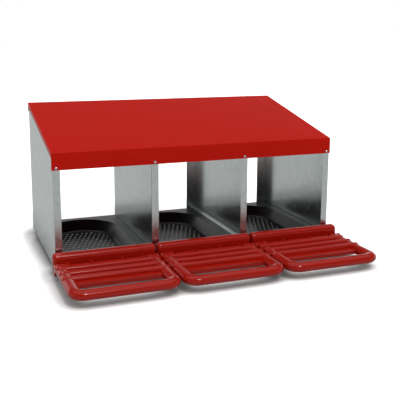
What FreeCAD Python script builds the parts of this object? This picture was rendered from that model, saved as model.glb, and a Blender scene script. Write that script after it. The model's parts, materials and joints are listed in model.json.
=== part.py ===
import FreeCAD, Part
import math
import os

# Three-bay nesting box: a sloping sheet-metal roof on four folded galvanised uprights, open at the
# back, with a drop-in plastic nest pan, a plastic sill and a fold-up plastic perch for each bay.
# Millimetres. X runs along the row of bays, -Y is the open front, +Y is the wall side, +Z is up.
# The origin is on the ground, under the middle of the cabinet (the perches reach out beyond it).

# ---- driving dimensions ----
bay_count = 3

# cabinet
roof_width = 900.0          # outside of the roof's side hems
body_depth = 456.0          # front face of the front flanges to rear face of the rear flanges
front_height = 353.0        # ground to the top of the roof's front fold
back_height = 453.0         # ground to the top of the roof's rear fold
panel_lift = 14.0           # ground to the lower edge of the uprights
sheet = 1.0                 # galvanised sheet
front_flange = 22.0
rear_flange = 36.0
bend_radius = 1.0           # inside radius of every fold

# roof
roof_sheet = 1.0
roof_front_drop = 50.0
roof_side_drop = 15.0
roof_rear_drop = 30.0
hem_gap = 1.0               # between a side hem and the side panel
roof_gap = 0.5              # between the roof and the uprights' top edges
roof_bend_radius = 1.5

# fasteners
roof_screw_r = 2.1
roof_screw_head_r = 4.0
roof_screw_head_t = 2.2
roof_screw_length = 12.0
roof_screw_inset = 6.5      # up from the lower edge of the roof's front or rear drop
rivet_r = 2.4
rivet_head_r = 4.8
rivet_head_t = 1.4
rivet_tail_r = 3.6
rivet_tail_t = 2.0
runner_rivet_r = 2.0
runner_rivet_head_r = 4.0
runner_rivet_count = 3
sill_screw_r = 2.0
sill_screw_head_r = 4.4
sill_screw_head_t = 2.2
sill_screw_length = 16.0
screw_head_rounding = 0.6   # share of a screw's or rivet's head height
slot_depth_share = 0.45     # cross recess: share of the head's height
slot_width_share = 0.24     # cross recess: share of the head's radius
hole_clearance = 0.1

# wall fixing holes in the rear flanges of the two side panels
wall_hole_r = 4.25
wall_hole_low = 240.0       # ground to the lower holes
wall_hole_rise = 130.0      # lower holes to upper holes

# rails
front_rail_low = 18.0
front_rail_height = 24.0
front_rail_depth = 9.0
rear_rail_height = 22.0
rear_rail_leg = 15.0
rear_rail_drop = 1.2        # the rear rail's leg under the uprights' lower edge

# pans and the runners that carry them
rim_top = 37.0
pan_wall = 2.5
pan_floor = 1.8
pan_side_gap = 2.2          # pan to the uprights of the narrowest bay
end_clearance = 0.5         # pans and runners to the tails of the rails' rivets
rim_side = 26.0
rim_end = 24.0
rim_corner = 12.0
tub_corner = 46.0           # front corners of the tub's mouth
tub_slope = 22.0            # how far the tub's wall leans in from mouth to floor
tub_floor_fillet = 9.0
drain_r = 4.8
drain_pitch = 16.5          # along X; alternate rows are shifted by half of it
drain_row_pitch = 21.0
drain_margin = 6.0
runner_ledge = 22.0
runner_foot_gap = 2.5       # uprights' lower edges to the runners' legs

# sills and perches, one of each to a bay
front_overhang = 12.0       # outer sill and perch ends beyond the roof
module_gap = 4.0
sill_top = 70.0
sill_depth = 35.0
sill_wall = 3.0
sill_round = 15.0
sill_end_round = 10.0
boss_r = 6.0
boss_grip = 10.0            # boss length inside the sill
boss_inset = 34.0           # boss axis to the edge of the clear opening
hinge_height = 36.0
hinge_offset = 17.0         # hinge axis in front of the sill
rod_r = 2.5
rod_recess = 2.0
rod_running_gap = 0.08
ear_fit_gap = 0.02
ear_r = 8.0
ear_t = 8.0
ear_gap = 2.0               # beside and in front of each ear
inner_ear_x = 42.0          # perch centre to the inner ears
barrel_r = 8.5              # the perch's rear edge, between the ears
perch_reach = 233.0         # hinge axis to the outer edge of the front bar
bar_half_width = 18.0
bar_half_height = 14.0
bar_drop = 2.0              # loop's centre line below the hinge axis
bar_corner = 26.0           # centre-line radius of the perch's front corners
arm_barrel_r = 12.0         # round end of each arm, on the hinge axis
rib_count = 3
rib_pitch = 42.0
first_rib = 26.0            # hinge axis to the first rib
rib_r = 10.0
rib_rise = 4.0              # rib axis above the hinge axis
rib_end_inset = 0.8         # rib ends inside the perch's outer edges
deck_t = 3.0
deck_low = -1.0             # underside of the deck from the hinge axis
deck_lip = 38.0             # last rib's axis to the deck's front edge
deck_skirt = 8.0            # the deck's front edge, turned down
heel_gap = 0.4              # heel to the sill with the perch down
heel_drop = 21.0            # hinge axis to the heel's lower edge
heel_top = 7.0              # hinge axis to the heel's upper edge

# ---- derived places ----
side_x = roof_width / 2 - roof_sheet - hem_gap
front_y = -body_depth / 2
rear_y = body_depth / 2
bay_clear = (2 * side_x - 2 * (bay_count - 1) * front_flange) / bay_count
divider_x = side_x - front_flange - bay_clear
slope_rise = (back_height - front_height) / (body_depth + 2 * roof_sheet)
roof_drop_z = roof_sheet * math.sqrt(1 + slope_rise ** 2)
flange_mid_x = [
    -side_x + front_flange / 2,
    -divider_x + front_flange / 2,
    divider_x - front_flange / 2,
    side_x - front_flange / 2,
]
rear_mid_x = [
    -side_x + rear_flange / 2,
    -divider_x + rear_flange / 2,
    divider_x - rear_flange / 2,
    side_x - rear_flange / 2,
]
outer_bay = (side_x - sheet) - divider_x
middle_bay = 2 * (divider_x - sheet)
pan_width = min(outer_bay, middle_bay) - 2 * pan_side_gap
pan_end_gap = rivet_tail_t + end_clearance
runner_end_gap = rivet_tail_t + end_clearance
pan_depth = body_depth - 2 * sheet - 2 * pan_end_gap
bay_walls = [
    (-side_x + sheet, -divider_x),
    (-divider_x + sheet, divider_x - sheet),
    (divider_x, side_x - sheet),
]
bay_x = [(low + high) / 2 for low, high in bay_walls]
ledge_top = rim_top - pan_wall
runner_leg = ledge_top - panel_lift - runner_foot_gap
runner_rivet_drop = runner_leg / 2 + runner_rivet_r
module_pitch = (roof_width + 2 * front_overhang) / bay_count
module_width = module_pitch - module_gap
module_x = [(i - (bay_count - 1) / 2) * module_pitch for i in range(bay_count)]
clear_openings = [
    (-side_x + front_flange, -divider_x),
    (-divider_x + front_flange, divider_x - front_flange),
    (divider_x, side_x - front_flange),
]
boss_x = [(low + boss_inset, high - boss_inset) for low, high in clear_openings]
sill_back = front_y - front_rail_depth
sill_front = sill_back - sill_depth
hinge_y = sill_front - hinge_offset
screw_z = front_rail_low + front_rail_height / 2
bar_y = hinge_y - perch_reach + bar_half_width
arm_x = module_width / 2 - bar_half_width
outer_ear_x = module_width / 2 - 2 * bar_half_width - ear_gap
ear_starts = [-outer_ear_x, -inner_ear_x - ear_t, inner_ear_x, outer_ear_x - ear_t]


# ---- small helpers ----
def box(x0, x1, y0, y1, z0, z1):
    return Part.makeBox(x1 - x0, y1 - y0, z1 - z0, FreeCAD.Vector(x0, y0, z0))


def rod(radius, start, end):
    a = FreeCAD.Vector(*start)
    b = FreeCAD.Vector(*end)
    return Part.makeCylinder(radius, (b - a).Length, a, b - a)


def fused(shapes):
    return shapes[0].fuse(shapes[1:]).removeSplitter()


def edges_where(shape, test):
    picked = []
    for edge in shape.Edges:
        ends = [v.Point for v in edge.Vertexes]
        if len(ends) == 2 and test(ends[0], ends[1]):
            picked.append(edge)
    return picked


def along(axis, a, b):
    d = b - a
    return abs(abs(getattr(d, axis)) - d.Length) < 1e-6


def roof_top(y):
    return front_height + (y - (front_y - roof_sheet)) * slope_rise


def write(name, shape):
    shape.exportStep("parts/" + name + ".step")


# ---- uprights: folded channels with a front and a rear flange ----
def cut_to_slope(shape):
    low = roof_top(front_y) - roof_drop_z - roof_gap
    high = roof_top(rear_y) - roof_drop_z - roof_gap
    top = 2 * back_height
    corners = [
        FreeCAD.Vector(-roof_width, front_y, low),
        FreeCAD.Vector(-roof_width, rear_y, high),
        FreeCAD.Vector(-roof_width, rear_y, top),
        FreeCAD.Vector(-roof_width, front_y, top),
    ]
    above = Part.Face(Part.makePolygon(corners + corners[:1]))
    return shape.cut(above.extrude(FreeCAD.Vector(2 * roof_width, 0, 0)))


def upright_box(xa, xb, y0, y1):
    return box(min(xa, xb), max(xa, xb), y0, y1, panel_lift, back_height)


def channel(web_x, turn):
    """A channel whose web's outer face is at web_x; turn is +1 or -1, the way its flanges point."""
    far_front = web_x + turn * front_flange
    far_rear = web_x + turn * rear_flange
    inner = web_x + turn * sheet
    web = upright_box(web_x, inner, front_y, rear_y)
    front = upright_box(web_x, far_front, front_y, front_y + sheet)
    rear = upright_box(web_x, far_rear, rear_y - sheet, rear_y)
    shape = fused([web, front, rear])

    def corner(x, y):
        return lambda a, b: along("z", a, b) and abs(a.x - x) < 1e-6 and abs(a.y - y) < 1e-6

    for y, y_in in ((front_y, front_y + sheet), (rear_y, rear_y - sheet)):
        shape = shape.makeFillet(bend_radius + sheet, edges_where(shape, corner(web_x, y)))
        shape = shape.makeFillet(bend_radius, edges_where(shape, corner(inner, y_in)))
    return cut_to_slope(shape)


def drill_y(shape, radius, x, z, y0, y1):
    return shape.cut(rod(radius + hole_clearance, (x, y0, z), (x, y1, z)))


front_screw_z = front_height - roof_front_drop + roof_screw_inset
rear_screw_z = back_height - roof_rear_drop + roof_screw_inset
rear_rivet_z = panel_lift + rear_rail_height / 2
runner_rivet_z = ledge_top - runner_rivet_drop
runner_rivet_y = [
    front_y + body_depth * (i + 0.5) / runner_rivet_count for i in range(runner_rivet_count)
]


def upright(index):
    outer = index in (0, bay_count)
    web_x = (-side_x, -divider_x, divider_x, side_x)[index]
    shape = channel(web_x, 1 if index < 2 else -1)
    near = front_y - sheet
    far = front_y + 2 * sheet
    shape = drill_y(shape, roof_screw_r, flange_mid_x[index], front_screw_z, near, far)
    shape = drill_y(shape, rivet_r, flange_mid_x[index], screw_z, near, far)
    near = rear_y - 2 * sheet
    far = rear_y + sheet
    shape = drill_y(shape, roof_screw_r, rear_mid_x[index], rear_screw_z, near, far)
    shape = drill_y(shape, rivet_r, rear_mid_x[index], rear_rivet_z, near, far)
    if outer:
        x = rear_mid_x[index]
        for z in (wall_hole_low, wall_hole_low + wall_hole_rise):
            shape = shape.cut(rod(wall_hole_r, (x, near, z), (x, far, z)))
    for y in runner_rivet_y:
        hole = rod(
            runner_rivet_r + hole_clearance,
            (web_x - 2 * sheet, y, runner_rivet_z),
            (web_x + 2 * sheet, y, runner_rivet_z),
        )
        shape = shape.cut(hole)
    return shape


# ---- roof ----
def roof():
    y0 = front_y - roof_sheet
    y1 = rear_y + roof_sheet
    half = roof_width / 2
    outline = [
        (y0, front_height - roof_front_drop),
        (y0, front_height),
        (y1, back_height),
        (y1, back_height - roof_rear_drop),
        (rear_y, back_height - roof_rear_drop),
        (rear_y, roof_top(rear_y) - roof_drop_z),
        (front_y, roof_top(front_y) - roof_drop_z),
        (front_y, front_height - roof_front_drop),
    ]
    points = [FreeCAD.Vector(-half, y, z) for y, z in outline]
    section = Part.Face(Part.makePolygon(points + points[:1]))
    shell = section.extrude(FreeCAD.Vector(roof_width, 0, 0))
    pieces = [shell]
    for side in (-1, 1):
        inner = side * (half - roof_sheet)
        hem_outline = [
            (y0, front_height - roof_side_drop),
            (y0, front_height),
            (y1, back_height),
            (y1, back_height - roof_side_drop),
        ]
        corners = [FreeCAD.Vector(inner, y, z) for y, z in hem_outline]
        hem = Part.Face(Part.makePolygon(corners + corners[:1]))
        pieces.append(hem.extrude(FreeCAD.Vector(side * roof_sheet, 0, 0)))
    shape = fused(pieces)

    def top_fold(a, b):
        on_top = abs(a.z - roof_top(a.y)) < 1e-4 and abs(b.z - roof_top(b.y)) < 1e-4
        return on_top and (a - b).Length > roof_side_drop

    shape = shape.makeFillet(roof_bend_radius, edges_where(shape, top_fold))
    for x in flange_mid_x:
        shape = drill_y(shape, roof_screw_r, x, front_screw_z, y0 - sheet, front_y + sheet)
    for x in rear_mid_x:
        shape = drill_y(shape, roof_screw_r, x, rear_screw_z, rear_y - sheet, y1 + sheet)
    return shape


# ---- rails ----
def front_rail():
    z0 = front_rail_low
    z1 = front_rail_low + front_rail_height
    web = box(-side_x, side_x, front_y - sheet, front_y, z0, z1)
    lower = box(-side_x, side_x, sill_back, front_y, z0, z0 + sheet)
    upper = box(-side_x, side_x, sill_back, front_y, z1 - sheet, z1)
    shape = fused([web, lower, upper])

    def corner(z):
        return lambda a, b: along("x", a, b) and abs(a.y - front_y) < 1e-6 and abs(a.z - z) < 1e-6

    shape = shape.makeFillet(bend_radius, edges_where(shape, corner(z0)))
    shape = shape.makeFillet(bend_radius, edges_where(shape, corner(z1)))
    for x in flange_mid_x:
        shape = drill_y(shape, rivet_r, x, screw_z, front_y - 2 * sheet, front_y + sheet)
    for pair in boss_x:
        for x in pair:
            shape = drill_y(shape, sill_screw_r, x, screw_z, front_y - 2 * sheet, front_y + sheet)
    return shape


def rear_rail():
    low = panel_lift - rear_rail_drop
    upright_leg = box(-side_x, side_x, rear_y, rear_y + sheet, low, panel_lift + rear_rail_height)
    flat_leg = box(-side_x, side_x, rear_y - rear_rail_leg, rear_y + sheet, low, low + sheet)
    shape = fused([upright_leg, flat_leg])

    def corner(a, b):
        return along("x", a, b) and abs(a.y - rear_y - sheet) < 1e-6 and abs(a.z - low) < 1e-6

    shape = shape.makeFillet(bend_radius, edges_where(shape, corner))
    for x in rear_mid_x:
        shape = drill_y(shape, rivet_r, x, rear_rivet_z, rear_y - sheet, rear_y + 2 * sheet)
    return shape


# ---- runners: an angle on each side of a bay, under the pan's rim ----
def runner(wall_x, turn):
    y0 = front_y + sheet + runner_end_gap
    y1 = rear_y - sheet - runner_end_gap
    leg_far = wall_x + turn * sheet
    ledge_far = wall_x + turn * runner_ledge
    leg = box(min(wall_x, leg_far), max(wall_x, leg_far), y0, y1, ledge_top - runner_leg, ledge_top)
    ledge = box(min(wall_x, ledge_far), max(wall_x, ledge_far), y0, y1, ledge_top - sheet, ledge_top)
    shape = fused([leg, ledge])

    def corner(a, b):
        return along("y", a, b) and abs(a.x - wall_x) < 1e-6 and abs(a.z - ledge_top) < 1e-6

    shape = shape.makeFillet(bend_radius, edges_where(shape, corner))
    for y in runner_rivet_y:
        hole = rod(
            runner_rivet_r + hole_clearance,
            (wall_x - turn * sheet, y, runner_rivet_z),
            (wall_x + turn * 2 * sheet, y, runner_rivet_z),
        )
        shape = shape.cut(hole)
    return shape


# ---- nest pan ----
def tub_section(center_x, inset, z):
    """The tub's outline at one level: straight sides, a half-round rear end, rounded front corners."""
    half = pan_width / 2 - rim_side - inset
    corner = tub_corner - inset
    front = -pan_depth / 2 + rim_end + inset
    side_front = front + corner
    rear_centre = pan_depth / 2 - rim_end - (half + inset)
    diagonal = corner * math.sqrt(0.5)

    def at(x, y):
        return FreeCAD.Vector(center_x + x, y, z)

    def front_arc(side):
        cx = side * (half - corner)
        middle = at(cx + side * diagonal, side_front - diagonal)
        return at(side * half, side_front), middle, at(cx, front)

    right_side, right_mid, right_front = front_arc(1)
    left_side, left_mid, left_front = front_arc(-1)
    edges = [
        Part.LineSegment(at(half, rear_centre), right_side).toShape(),
        Part.Arc(right_side, right_mid, right_front).toShape(),
        Part.LineSegment(right_front, left_front).toShape(),
        Part.Arc(left_front, left_mid, left_side).toShape(),
        Part.LineSegment(left_side, at(-half, rear_centre)).toShape(),
        Part.Arc(at(-half, rear_centre), at(0, rear_centre + half), at(half, rear_centre)).toShape(),
    ]
    return Part.Wire(edges)


def drain_places():
    half = pan_width / 2 - rim_side - tub_slope - drain_margin - drain_r
    rear_centre = pan_depth / 2 - rim_end - (pan_width / 2 - rim_side)
    front = -pan_depth / 2 + rim_end + tub_slope + drain_margin + drain_r
    corner = tub_corner - tub_slope
    columns = int(half // drain_pitch) + 1
    rows = int(pan_depth // drain_row_pitch) + 1
    places = []
    for i in range(-columns, columns + 1):
        for j in range(-rows, rows):
            x = (i + j % 2 / 2) * drain_pitch
            y = j * drain_row_pitch
            in_width = abs(x) <= half
            in_front = y >= front + max(0.0, abs(x) - (half - corner))
            in_rear = y <= rear_centre or math.hypot(x, y - rear_centre) <= half
            if in_width and in_front and in_rear:
                places.append((x, y))
    return places


def nest_pan(center_x):
    x0 = center_x - pan_width / 2
    rim = box(x0, x0 + pan_width, -pan_depth / 2, pan_depth / 2, ledge_top, rim_top)
    rim = rim.makeFillet(rim_corner, edges_where(rim, lambda a, b: along("z", a, b)))
    outer_mouth = tub_section(center_x, -pan_wall, ledge_top)
    outer_base = tub_section(center_x, tub_slope - pan_wall, 0.0)
    outer = Part.makeLoft([outer_mouth, outer_base], True, True)
    inner_mouth = tub_section(center_x, 0.0, rim_top)
    inner_base = tub_section(center_x, tub_slope, pan_floor)
    inner = Part.makeLoft([inner_mouth, inner_base], True, True)
    floor_edges = [e for e in inner.Edges if e.BoundBox.ZMax < pan_floor + 1e-3]
    inner = inner.makeFillet(tub_floor_fillet, floor_edges)
    shape = rim.fuse(outer).cut(inner)
    drains = []
    for x, y in drain_places():
        drains.append(rod(drain_r, (center_x + x, y, -pan_floor), (center_x + x, y, 2 * pan_floor)))
    return shape.cut(Part.makeCompound(drains)).removeSplitter()


# ---- sill: a hollow moulded bar along the front of a bay, with bosses behind and hinge ears ahead ----
def sill(center_x, bosses):
    half = module_width / 2
    bar = box(center_x - half, center_x + half, sill_front, sill_back, panel_lift, sill_top)
    bar = rounded_bar(bar, center_x, half, sill_top, sill_round, sill_end_round)
    core = box(
        center_x - half + sill_wall,
        center_x + half - sill_wall,
        sill_front + sill_wall,
        sill_back - sill_wall,
        panel_lift - sill_wall,
        sill_top - sill_wall,
    )
    core_round = sill_round - sill_wall
    core_end_round = sill_end_round - sill_wall
    core_half = half - sill_wall
    core = rounded_bar(core, center_x, core_half, sill_top - sill_wall, core_round, core_end_round)
    shape = bar.cut(core)
    adds = []
    for x in bosses:
        adds.append(rod(boss_r, (x, sill_back - boss_grip, screw_z), (x, front_y - sheet, screw_z)))
    for start in ear_starts:
        x = center_x + start
        adds.append(rod(ear_r, (x, hinge_y, hinge_height), (x + ear_t, hinge_y, hinge_height)))
        low = hinge_height - ear_r
        adds.append(box(x, x + ear_t, hinge_y, sill_front, low, hinge_height + ear_r))
    shape = fused([shape] + adds)
    for x in bosses:
        shape = shape.cut(rod(sill_screw_r, (x, sill_back - boss_grip, screw_z), (x, front_y, screw_z)))
    bore = rod(
        rod_r + ear_fit_gap,
        (center_x - half, hinge_y, hinge_height),
        (center_x + half, hinge_y, hinge_height),
    )
    return shape.cut(bore)


def rounded_bar(bar, center_x, half, top, long_round, end_round):
    """Rounds a bar's two upper long edges, then the edges of its end faces."""

    def top_long(a, b):
        return along("x", a, b) and a.z > top - 1e-3

    bar = bar.makeFillet(long_round, edges_where(bar, top_long))
    return bar.makeFillet(end_round, [e for e in bar.Edges if is_end_edge(e, center_x, half)])


def is_end_edge(edge, center_x, half):
    bounds = edge.BoundBox
    at_end = abs(abs((bounds.XMin + bounds.XMax) / 2 - center_x) - half) < 1e-3 and bounds.XLength < 1e-3
    return at_end and bounds.ZMax > panel_lift + 1e-3


# ---- perch: a ribbed deck inside a rounded loop, on knuckles that turn about the hinge rod ----
def bar_face(origin, along_x):
    ellipse = Part.Ellipse(FreeCAD.Vector(0, 0, 0), bar_half_width, bar_half_height)
    face = Part.Face(Part.Wire([ellipse.toShape()]))
    face.rotate(FreeCAD.Vector(0, 0, 0), FreeCAD.Vector(1, 0, 0), 90)
    if along_x:
        face.rotate(FreeCAD.Vector(0, 0, 0), FreeCAD.Vector(0, 0, 1), 90)
    face.translate(FreeCAD.Vector(*origin))
    return face


def perch_loop(center_x):
    z = hinge_height - bar_drop
    turn_y = bar_y + bar_corner
    front_half = arm_x - bar_corner
    start = (center_x - front_half, bar_y, z)
    pieces = [bar_face(start, True).extrude(FreeCAD.Vector(2 * front_half, 0, 0))]
    for side in (-1, 1):
        arm_start = (center_x + side * arm_x, turn_y, z)
        pieces.append(bar_face(arm_start, False).extrude(FreeCAD.Vector(0, hinge_y - turn_y, 0)))
        corner_axis = FreeCAD.Vector(center_x + side * front_half, turn_y, z)
        corner = bar_face(arm_start, False).revolve(corner_axis, FreeCAD.Vector(0, 0, -side), 90)
        pieces.append(corner)
    return pieces


def perch_deck(center_x):
    """The deck from the hinge to its turned-down front edge, with hollow ribs across it."""
    low = hinge_height + deck_low
    front = hinge_y - first_rib - (rib_count - 1) * rib_pitch - deck_lip
    plate = box(center_x - arm_x, center_x + arm_x, front, hinge_y, low, low + deck_t)
    skirt = box(center_x - arm_x, center_x + arm_x, front, front + deck_t, low - deck_skirt, low)
    rib_half = module_width / 2 - rib_end_inset - rib_r
    open_half = arm_x - bar_half_width
    z = hinge_height + rib_rise
    ribs = []
    hollows = []
    for i in range(rib_count):
        y = hinge_y - first_rib - i * rib_pitch
        ribs.append(rod(rib_r, (center_x - rib_half, y, z), (center_x + rib_half, y, z)))
        for side in (-1, 1):
            ribs.append(Part.makeSphere(rib_r, FreeCAD.Vector(center_x + side * rib_half, y, z)))
        hollow_r = rib_r - deck_t
        hollows.append(rod(hollow_r, (center_x - open_half, y, z), (center_x + open_half, y, z)))
    below_x = (center_x - open_half, center_x + open_half)
    below = box(*below_x, front, hinge_y, low - 2 * rib_r, low)
    return fused([fused([plate] + ribs).cut([below] + hollows), skirt])


def ear_notches(center_x):
    """Room for the sill's ears in the perch's rear edge."""
    front = hinge_y - ear_r - ear_gap
    rear = hinge_y + 2 * ear_r
    low = hinge_height - 2 * ear_r
    high = hinge_height + 2 * ear_r
    starts = [center_x + start for start in ear_starts]
    return [box(x - ear_gap, x + ear_t + ear_gap, front, rear, low, high) for x in starts]


def perch(center_x):
    half = module_width / 2
    z = hinge_height
    notches = ear_notches(center_x)
    barrel = rod(barrel_r, (center_x - arm_x, hinge_y, z), (center_x + arm_x, hinge_y, z))
    pieces = [perch_deck(center_x).cut(notches), barrel.cut(notches)]
    for side in (-1, 1):
        outer = center_x + side * half
        inner = center_x + side * (half - 2 * bar_half_width)
        pieces.append(rod(arm_barrel_r, (inner, hinge_y, z), (outer, hinge_y, z)))
        x0 = min(inner, outer)
        x1 = max(inner, outer)
        pieces.append(box(x0, x1, hinge_y, sill_front - heel_gap, z - heel_drop, z - heel_top))
    bore_x = half + ear_gap
    bore_r = rod_r + rod_running_gap
    bore = rod(bore_r, (center_x - bore_x, hinge_y, z), (center_x + bore_x, hinge_y, z))
    return fused([piece.cut(bore) for piece in perch_loop(center_x) + pieces])


def hinge_rod(center_x):
    z = hinge_height
    half = module_width / 2 - rod_recess
    return rod(rod_r, (center_x - half, hinge_y, z), (center_x + half, hinge_y, z))


# ---- fasteners ----
def pan_head_screw(x, y, z, way, shank_r, length, head_r, head_t):
    """A screw whose head sits on the plane y; way is the Y direction its shank goes."""
    y_top = y - way * head_t
    shank = rod(shank_r, (x, y, z), (x, y + way * length, z))
    head = rod(head_r, (x, y, z), (x, y_top, z))
    rim = [
        e for e in head.Edges
        if e.BoundBox.YLength < 1e-3 and abs(e.BoundBox.Center.y - y_top) < 1e-3
    ]
    head = head.makeFillet(head_t * screw_head_rounding, rim)
    y_bottom = y_top + way * head_t * slot_depth_share
    y0 = min(y_top, y_bottom)
    y1 = max(y_top, y_bottom)
    long_half = head_r / 2
    short_half = head_r * slot_width_share / 2
    bar_a = box(x - long_half, x + long_half, y0, y1, z - short_half, z + short_half)
    bar_b = box(x - short_half, x + short_half, y0, y1, z - long_half, z + long_half)
    return shank.fuse(head).cut([bar_a, bar_b]).removeSplitter()


def rivet(start, direction, grip, shank_r, head_r):
    """A blind rivet: domed head before the start, shank through the grip, formed tail behind it."""
    a = FreeCAD.Vector(*start)
    d = FreeCAD.Vector(*direction)
    top = a - d * rivet_head_t
    head = Part.makeCylinder(head_r, rivet_head_t, top, d)
    rim = [e for e in head.Edges if e.isClosed() and (e.Vertexes[0].Point - top).dot(d) < 1e-3]
    head = head.makeFillet(rivet_head_t * screw_head_rounding, rim)
    shank = Part.makeCylinder(shank_r, grip, a, d)
    tail = Part.makeCylinder(shank_r * rivet_tail_r / rivet_r, rivet_tail_t, a + d * grip, d)
    return head.fuse([shank, tail]).removeSplitter()


def roof_screws(rear):
    if rear:
        places = [(x, rear_y + roof_sheet, rear_screw_z, -1) for x in rear_mid_x]
    else:
        places = [(x, front_y - roof_sheet, front_screw_z, 1) for x in flange_mid_x]
    size = (roof_screw_r, roof_screw_length, roof_screw_head_r, roof_screw_head_t)
    return Part.makeCompound([pan_head_screw(*place, *size) for place in places])


def sill_screws():
    size = (sill_screw_r, sill_screw_length, sill_screw_head_r, sill_screw_head_t)
    places = [(x, front_y, screw_z, -1) for pair in boss_x for x in pair]
    return Part.makeCompound([pan_head_screw(*place, *size) for place in places])


def rail_rivets(rear):
    made = []
    for index in range(len(flange_mid_x)):
        if rear:
            start = (rear_mid_x[index], rear_y + sheet, rear_rivet_z)
            made.append(rivet(start, (0, -1, 0), 2 * sheet, rivet_r, rivet_head_r))
        else:
            start = (flange_mid_x[index], front_y - sheet, screw_z)
            made.append(rivet(start, (0, 1, 0), 2 * sheet, rivet_r, rivet_head_r))
    return Part.makeCompound(made)


def runner_rivets():
    """One row into each side panel, and one row through each divider and both its runners."""
    made = []
    for y in runner_rivet_y:
        for side in (-1, 1):
            way = (-side, 0, 0)
            outer = (side * side_x, y, runner_rivet_z)
            inner = (side * (divider_x + sheet), y, runner_rivet_z)
            made.append(rivet(outer, way, 2 * sheet, runner_rivet_r, runner_rivet_head_r))
            made.append(rivet(inner, way, 3 * sheet, runner_rivet_r, runner_rivet_head_r))
    return Part.makeCompound(made)


# ---- write every node ----
os.makedirs("parts", exist_ok=True)
for index, name in enumerate(("side_panel_left", "divider_left", "divider_right", "side_panel_right")):
    write(name, upright(index))
write("roof", roof())
write("front_rail", front_rail())
write("rear_rail", rear_rail())
for index, (low_wall, high_wall) in enumerate(bay_walls):
    bay = str(index + 1)
    write("runner_" + bay + "_left", runner(low_wall, 1))
    write("runner_" + bay + "_right", runner(high_wall, -1))
    write("nest_pan_" + bay, nest_pan(bay_x[index]))
    write("sill_" + bay, sill(module_x[index], boss_x[index]))
    write("perch_" + bay, perch(module_x[index]))
    write("hinge_rod_" + bay, hinge_rod(module_x[index]))
write("roof_screws_front", roof_screws(False))
write("roof_screws_rear", roof_screws(True))
write("front_rail_rivets", rail_rivets(False))
write("rear_rail_rivets", rail_rivets(True))
write("runner_rivets", runner_rivets())
write("sill_screws", sill_screws())
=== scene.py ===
import json
import math

import bmesh
import bpy
from mathutils import Matrix, Vector

# Three-bay nesting box: galvanised uprights, a coated steel roof, black moulded pans, red moulded
# sills and fold-up perches. Metres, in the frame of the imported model.

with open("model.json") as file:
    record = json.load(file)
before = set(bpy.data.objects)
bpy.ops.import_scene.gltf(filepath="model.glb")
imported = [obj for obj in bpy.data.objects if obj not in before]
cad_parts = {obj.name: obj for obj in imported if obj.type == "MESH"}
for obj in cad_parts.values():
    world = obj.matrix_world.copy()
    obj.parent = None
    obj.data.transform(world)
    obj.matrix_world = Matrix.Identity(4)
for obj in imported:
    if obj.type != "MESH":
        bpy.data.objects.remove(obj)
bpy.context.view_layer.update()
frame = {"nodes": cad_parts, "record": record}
nodes = frame["nodes"]
mm = 0.001
print("frame loaded:", len(nodes), "nodes")


def hexColour(text):
    channels = []
    for i in (0, 2, 4):
        c = int(text[i:i + 2], 16) / 255
        channels.append(c / 12.92 if c <= 0.04045 else ((c + 0.055) / 1.055) ** 2.4)
    return (*channels, 1.0)


def addNode(tree, kind, settings=None, links=None):
    # A key names a socket by number or name, or else one of the node's own properties.
    node = tree.nodes.new(kind)
    for key, value in (settings or {}).items():
        if isinstance(key, int) or key in node.inputs:
            node.inputs[key].default_value = value
        else:
            setattr(node, key, value)
    for key, source in (links or {}).items():
        tree.links.new(source, node.inputs[key])
    return node


def newMaterial(name):
    material = bpy.data.materials.new(name)
    material.use_nodes = True
    tree = material.node_tree
    tree.nodes.clear()
    place = addNode(tree, "ShaderNodeTexCoord").outputs["Object"]
    return material, tree, place


def perMetre(size):
    return 1 / size


def coatedRoofSheet():
    # Steel coil with a baked polyester paint: an even satin red with a faint orange peel. The specular
    # level is far under the usual 0.5, so that the pale surroundings don't wash out the red.
    look = {"red": "C8190B", "deep": "BD1609", "ior": 1.5, "roughness": 0.30, "specular": 0.06,
            "drift": 240 * mm, "driftDetail": 3.0,
            "peel": 2.2 * mm, "peelDetail": 2.0, "peelDepth": 0.03 * mm, "peelStrength": 0.5}
    material, tree, place = newMaterial("polyesterCoatedSteel")
    drift = addNode(tree, "ShaderNodeTexNoise",
                    {"Scale": perMetre(look["drift"]), "Detail": look["driftDetail"]}, {"Vector": place})
    colour = addNode(tree, "ShaderNodeMix",
                     {"data_type": "RGBA", 6: hexColour(look["deep"]), 7: hexColour(look["red"])},
                     {0: drift.outputs["Fac"]})
    peel = addNode(tree, "ShaderNodeTexNoise",
                   {"Scale": perMetre(look["peel"]), "Detail": look["peelDetail"]}, {"Vector": place})
    skin = addNode(tree, "ShaderNodeBump",
                   {"Strength": look["peelStrength"], "Distance": look["peelDepth"]},
                   {"Height": peel.outputs["Fac"]})
    paint = addNode(tree, "ShaderNodeBsdfPrincipled",
                    {"Roughness": look["roughness"], "IOR": look["ior"],
                     "Specular IOR Level": look["specular"]},
                    {"Base Color": colour.outputs[2], "Normal": skin.outputs["Normal"]})
    addNode(tree, "ShaderNodeOutputMaterial", {}, {"Surface": paint.outputs["BSDF"]})
    return material


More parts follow.
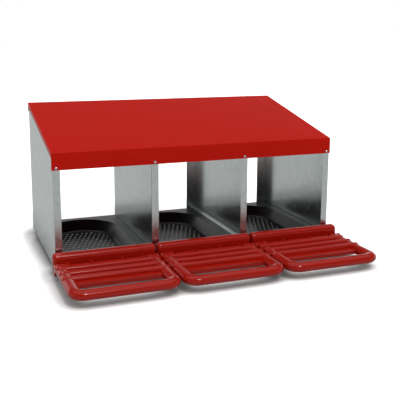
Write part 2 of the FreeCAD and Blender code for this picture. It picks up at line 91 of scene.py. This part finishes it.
def galvanisedSheet():
    # Skin-passed galvanised steel: a blurred grey mirror with barely visible crystal patches.
    look = {"light": "CED3D3", "dark": "C4CACA", "spangle": 14 * mm, "wander": 6 * mm,
            "smooth": 0.20, "dull": 0.26,
            "ripple": 90 * mm, "rippleDetail": 1.0, "rippleDepth": 0.10 * mm, "rippleStrength": 0.3}
    material, tree, place = newMaterial("galvanisedSteel")
    warp = addNode(tree, "ShaderNodeTexNoise", {"Scale": perMetre(look["spangle"])}, {"Vector": place})
    moved = addNode(tree, "ShaderNodeVectorMath", {"operation": "MULTIPLY_ADD", 1: (look["wander"],) * 3},
                    {0: warp.outputs["Color"], 2: place})
    crystals = addNode(tree, "ShaderNodeTexVoronoi", {"Scale": perMetre(look["spangle"])},
                       {"Vector": moved.outputs[0]})
    tone = addNode(tree, "ShaderNodeSeparateColor", {}, {"Color": crystals.outputs["Color"]})
    colour = addNode(tree, "ShaderNodeMix",
                     {"data_type": "RGBA", 6: hexColour(look["dark"]), 7: hexColour(look["light"])},
                     {0: tone.outputs[0]})
    rough = addNode(tree, "ShaderNodeMapRange", {"To Min": look["smooth"], "To Max": look["dull"]},
                    {"Value": tone.outputs[1]})
    ripple = addNode(tree, "ShaderNodeTexNoise",
                     {"Scale": perMetre(look["ripple"]), "Detail": look["rippleDetail"]}, {"Vector": place})
    waves = addNode(tree, "ShaderNodeBump",
                    {"Strength": look["rippleStrength"], "Distance": look["rippleDepth"]},
                    {"Height": ripple.outputs["Fac"]})
    metal = addNode(tree, "ShaderNodeBsdfPrincipled", {"Metallic": 1.0},
                    {"Base Color": colour.outputs[2], "Roughness": rough.outputs[0],
                     "Normal": waves.outputs["Normal"]})
    addNode(tree, "ShaderNodeOutputMaterial", {}, {"Surface": metal.outputs["BSDF"]})
    return material


def blackPolypropylene():
    # Injection-moulded black polypropylene: a dark skin with a fine mould texture, worn satin.
    look = {"deep": "060607", "light": "0B0B0C", "smooth": 0.30, "dull": 0.40, "ior": 1.49,
            "specular": 0.4, "drift": 45 * mm, "driftDetail": 4.0,
            "texture": 0.8 * mm, "textureDetail": 2.0, "textureDepth": 0.02 * mm, "textureStrength": 0.5}
    return mouldedPlastic("blackPolypropylene", look)


def redPolypropylene():
    # Injection-moulded red polypropylene: a deep even red with soft broad highlights.
    look = {"deep": "9C1408", "light": "AA1809", "smooth": 0.15, "dull": 0.22, "ior": 1.49,
            "specular": 0.30, "drift": 70 * mm, "driftDetail": 4.0,
            "texture": 0.9 * mm, "textureDetail": 2.0, "textureDepth": 0.012 * mm, "textureStrength": 0.5}
    return mouldedPlastic("redPolypropylene", look)


def mouldedPlastic(name, look):
    material, tree, place = newMaterial(name)
    drift = addNode(tree, "ShaderNodeTexNoise",
                    {"Scale": perMetre(look["drift"]), "Detail": look["driftDetail"]}, {"Vector": place})
    colour = addNode(tree, "ShaderNodeMix",
                     {"data_type": "RGBA", 6: hexColour(look["deep"]), 7: hexColour(look["light"])},
                     {0: drift.outputs["Fac"]})
    rough = addNode(tree, "ShaderNodeMapRange", {"To Min": look["smooth"], "To Max": look["dull"]},
                    {"Value": drift.outputs["Fac"]})
    texture = addNode(tree, "ShaderNodeTexNoise",
                      {"Scale": perMetre(look["texture"]), "Detail": look["textureDetail"]},
                      {"Vector": place})
    skin = addNode(tree, "ShaderNodeBump",
                   {"Strength": look["textureStrength"], "Distance": look["textureDepth"]},
                   {"Height": texture.outputs["Fac"]})
    plastic = addNode(tree, "ShaderNodeBsdfPrincipled",
                      {"IOR": look["ior"], "Specular IOR Level": look["specular"]},
                      {"Base Color": colour.outputs[2], "Roughness": rough.outputs[0],
                       "Normal": skin.outputs["Normal"]})
    addNode(tree, "ShaderNodeOutputMaterial", {}, {"Surface": plastic.outputs["BSDF"]})
    return material


def zincPlatedSteel():
    # Bright zinc plate on small steel parts: pale and a little blue, with slight uneven dulling.
    look = {"light": "D9DCDF", "dark": "BFC3C6", "smooth": 0.18, "dull": 0.30,
            "drift": 6 * mm, "driftDetail": 3.0}
    material, tree, place = newMaterial("zincPlatedSteel")
    drift = addNode(tree, "ShaderNodeTexNoise",
                    {"Scale": perMetre(look["drift"]), "Detail": look["driftDetail"]}, {"Vector": place})
    colour = addNode(tree, "ShaderNodeMix",
                     {"data_type": "RGBA", 6: hexColour(look["dark"]), 7: hexColour(look["light"])},
                     {0: drift.outputs["Fac"]})
    rough = addNode(tree, "ShaderNodeMapRange", {"To Min": look["smooth"], "To Max": look["dull"]},
                    {"Value": drift.outputs["Fac"]})
    metal = addNode(tree, "ShaderNodeBsdfPrincipled", {"Metallic": 1.0},
                    {"Base Color": colour.outputs[2], "Roughness": rough.outputs[0]})
    addNode(tree, "ShaderNodeOutputMaterial", {}, {"Surface": metal.outputs["BSDF"]})
    return material


finishes = {
    "coated_roof_sheet": coatedRoofSheet(),
    "galvanised_sheet": galvanisedSheet(),
    "black_polypropylene": blackPolypropylene(),
    "red_polypropylene": redPolypropylene(),
    "zinc_plated_steel": zincPlatedSteel(),
}
for part in frame["record"]["subparts"]:
    for materialSlot in nodes[part["node"]].material_slots:
        materialSlot.material = finishes[part["material_slot"]]
print("materials assigned")


def makeFloor():
    # A pale floor, made to look two ways. The camera sees it glow, a painted light, and darkened by ambient
    # occlusion where something stands close over it, a painted contact shadow and not one the lamp casts.
    # All other rays, such as those of a reflection, meet an even grey.
    floor = {"side": 60.0, "mirrored": "D2D4D2", "glow": 0.60, "reach": 0.065, "rays": 8,
             "falloff": 3.3, "lightFrom": (0.12, -0.74, 0.66)}
    mesh = bpy.data.meshes.new("floor")
    sheet = bmesh.new()
    bmesh.ops.create_grid(sheet, x_segments=1, y_segments=1, size=floor["side"] / 2)
    sheet.to_mesh(mesh)
    sheet.free()
    thing = bpy.data.objects.new("floor", mesh)
    bpy.context.scene.collection.objects.link(thing)
    material, tree = newMaterial("paleFloor")[:2]
    # The painted shadow falls as if from a light in this direction: the occlusion is taken around it.
    toLight = addNode(tree, "ShaderNodeCombineXYZ", dict(enumerate(floor["lightFrom"])))
    openness = addNode(tree, "ShaderNodeAmbientOcclusion",
                       {"samples": floor["rays"], "Distance": floor["reach"]},
                       {"Normal": toLight.outputs[0]})
    shade = addNode(tree, "ShaderNodeMath", {"operation": "POWER", 1: floor["falloff"]},
                    {0: openness.outputs["AO"]})
    # The painted contact shadow as a grey colour, used by both the diffuse and the painted glow.
    paintedShadeColour = addNode(tree, "ShaderNodeCombineColor", {}, {i: shade.outputs[0] for i in range(3)})
    lit = addNode(tree, "ShaderNodeBsdfDiffuse", {}, {"Color": paintedShadeColour.outputs[0]})
    glow = addNode(tree, "ShaderNodeEmission", {"Strength": floor["glow"]}, {"Color": paintedShadeColour.outputs[0]})
    seenShader = addNode(tree, "ShaderNodeAddShader", {}, {0: lit.outputs[0], 1: glow.outputs[0]})
    plain = addNode(tree, "ShaderNodeBsdfDiffuse", {"Color": hexColour(floor["mirrored"])})
    seen = addNode(tree, "ShaderNodeLightPath").outputs["Is Camera Ray"]
    shader = addNode(tree, "ShaderNodeMixShader", {},
                     {0: seen, 1: plain.outputs[0], 2: seenShader.outputs[0]})
    addNode(tree, "ShaderNodeOutputMaterial", {}, {"Surface": shader.outputs["Shader"]})
    mesh.materials.append(material)


def makeWorld():
    # The camera sees plain white behind the object. As a light the world is a bright ceiling, a dim
    # band under it, and a pale horizon that fades from behind the object towards the front.
    sky = {"ceiling": 1.0, "band": 0.05, "horizon": 0.95, "front": 0.5, "rear": 1.0, "seen": 1.0,
           "bandStart": 0.28, "bandFull": 0.38, "ceilingStart": 0.55, "ceilingFull": 0.88,
           "frontEnd": -0.6, "rearStart": 0.2}
    world = bpy.data.worlds.new("studio")
    world.use_nodes = True
    tree = world.node_tree
    tree.nodes.clear()
    direction = addNode(tree, "ShaderNodeTexCoord").outputs["Generated"]
    parts = addNode(tree, "ShaderNodeSeparateXYZ", {}, {0: direction})
    low = addNode(tree, "ShaderNodeMapRange",
                  {"From Min": sky["bandStart"], "From Max": sky["bandFull"],
                   "To Min": sky["horizon"], "To Max": sky["band"]}, {"Value": parts.outputs["Z"]})
    high = addNode(tree, "ShaderNodeMapRange",
                   {"From Min": sky["ceilingStart"], "From Max": sky["ceilingFull"],
                    "To Min": 0.0, "To Max": sky["ceiling"]}, {"Value": parts.outputs["Z"]})
    climb = addNode(tree, "ShaderNodeMath", {"operation": "MAXIMUM"},
                    {0: low.outputs[0], 1: high.outputs[0]})
    facing = addNode(tree, "ShaderNodeMapRange",
                     {"From Min": sky["frontEnd"], "From Max": sky["rearStart"],
                      "To Min": sky["front"], "To Max": sky["rear"]}, {"Value": parts.outputs["Y"]})
    light = addNode(tree, "ShaderNodeMath", {"operation": "MULTIPLY"},
                    {0: climb.outputs[0], 1: facing.outputs[0]})
    seen = addNode(tree, "ShaderNodeLightPath").outputs["Is Camera Ray"]
    strength = addNode(tree, "ShaderNodeMix", {"data_type": "FLOAT", 3: sky["seen"]},
                       {0: seen, 2: light.outputs[0]})
    back = addNode(tree, "ShaderNodeBackground", {"Color": (1, 1, 1, 1)}, {"Strength": strength.outputs[0]})
    addNode(tree, "ShaderNodeOutputWorld", {}, {"Surface": back.outputs[0]})
    bpy.context.scene.world = world


def makeCamera():
    view = {"azimuth": -20.91, "elevation": 10.22, "roll": 0.27, "place": (-0.74665, -2.13941, 0.6812),
            "sensor": 36, "lens": 61.95, "shiftX": 0.0102, "shiftY": -0.1037}
    turn = math.radians(view["azimuth"])
    lift = math.radians(view["elevation"])
    roll = math.radians(view["roll"])
    back = Vector((math.sin(turn) * math.cos(lift), -math.cos(turn) * math.cos(lift), math.sin(lift)))
    right = Vector((math.cos(turn), math.sin(turn), 0))
    up = back.cross(right)
    rolledRight = right * math.cos(roll) + up * math.sin(roll)
    rolledUp = up * math.cos(roll) - right * math.sin(roll)
    lens = bpy.data.cameras.new("camera")
    lens.sensor_width = view["sensor"]
    lens.lens = view["lens"]
    lens.shift_x = view["shiftX"]
    lens.shift_y = view["shiftY"]
    camera = bpy.data.objects.new("camera", lens)
    bpy.context.scene.collection.objects.link(camera)
    turned = Matrix((rolledRight, rolledUp, back)).transposed().to_4x4()
    camera.matrix_world = Matrix.Translation(view["place"]) @ turned
    bpy.context.scene.camera = camera


def makeSun():
    # One broad soft lamp, nearly straight in front and well above. Degrees, and a plain strength.
    sun = {"azimuth": 6, "elevation": 58, "width": 10, "strength": 1.5}
    lamp = bpy.data.lights.new("keySun", "SUN")
    lamp.angle = math.radians(sun["width"])
    lamp.energy = sun["strength"]
    thing = bpy.data.objects.new("keySun", lamp)
    bpy.context.scene.collection.objects.link(thing)
    turn = math.radians(sun["azimuth"])
    lift = math.radians(sun["elevation"])
    away = Vector((math.sin(turn) * math.cos(lift), -math.cos(turn) * math.cos(lift), math.sin(lift)))
    thing.matrix_world = Matrix.Translation(away) @ away.to_track_quat("Z", "Y").to_matrix().to_4x4()


bpy.context.scene.view_settings.view_transform = "Standard"
makeFloor()
makeWorld()
makeCamera()
makeSun()
print("studio ready")
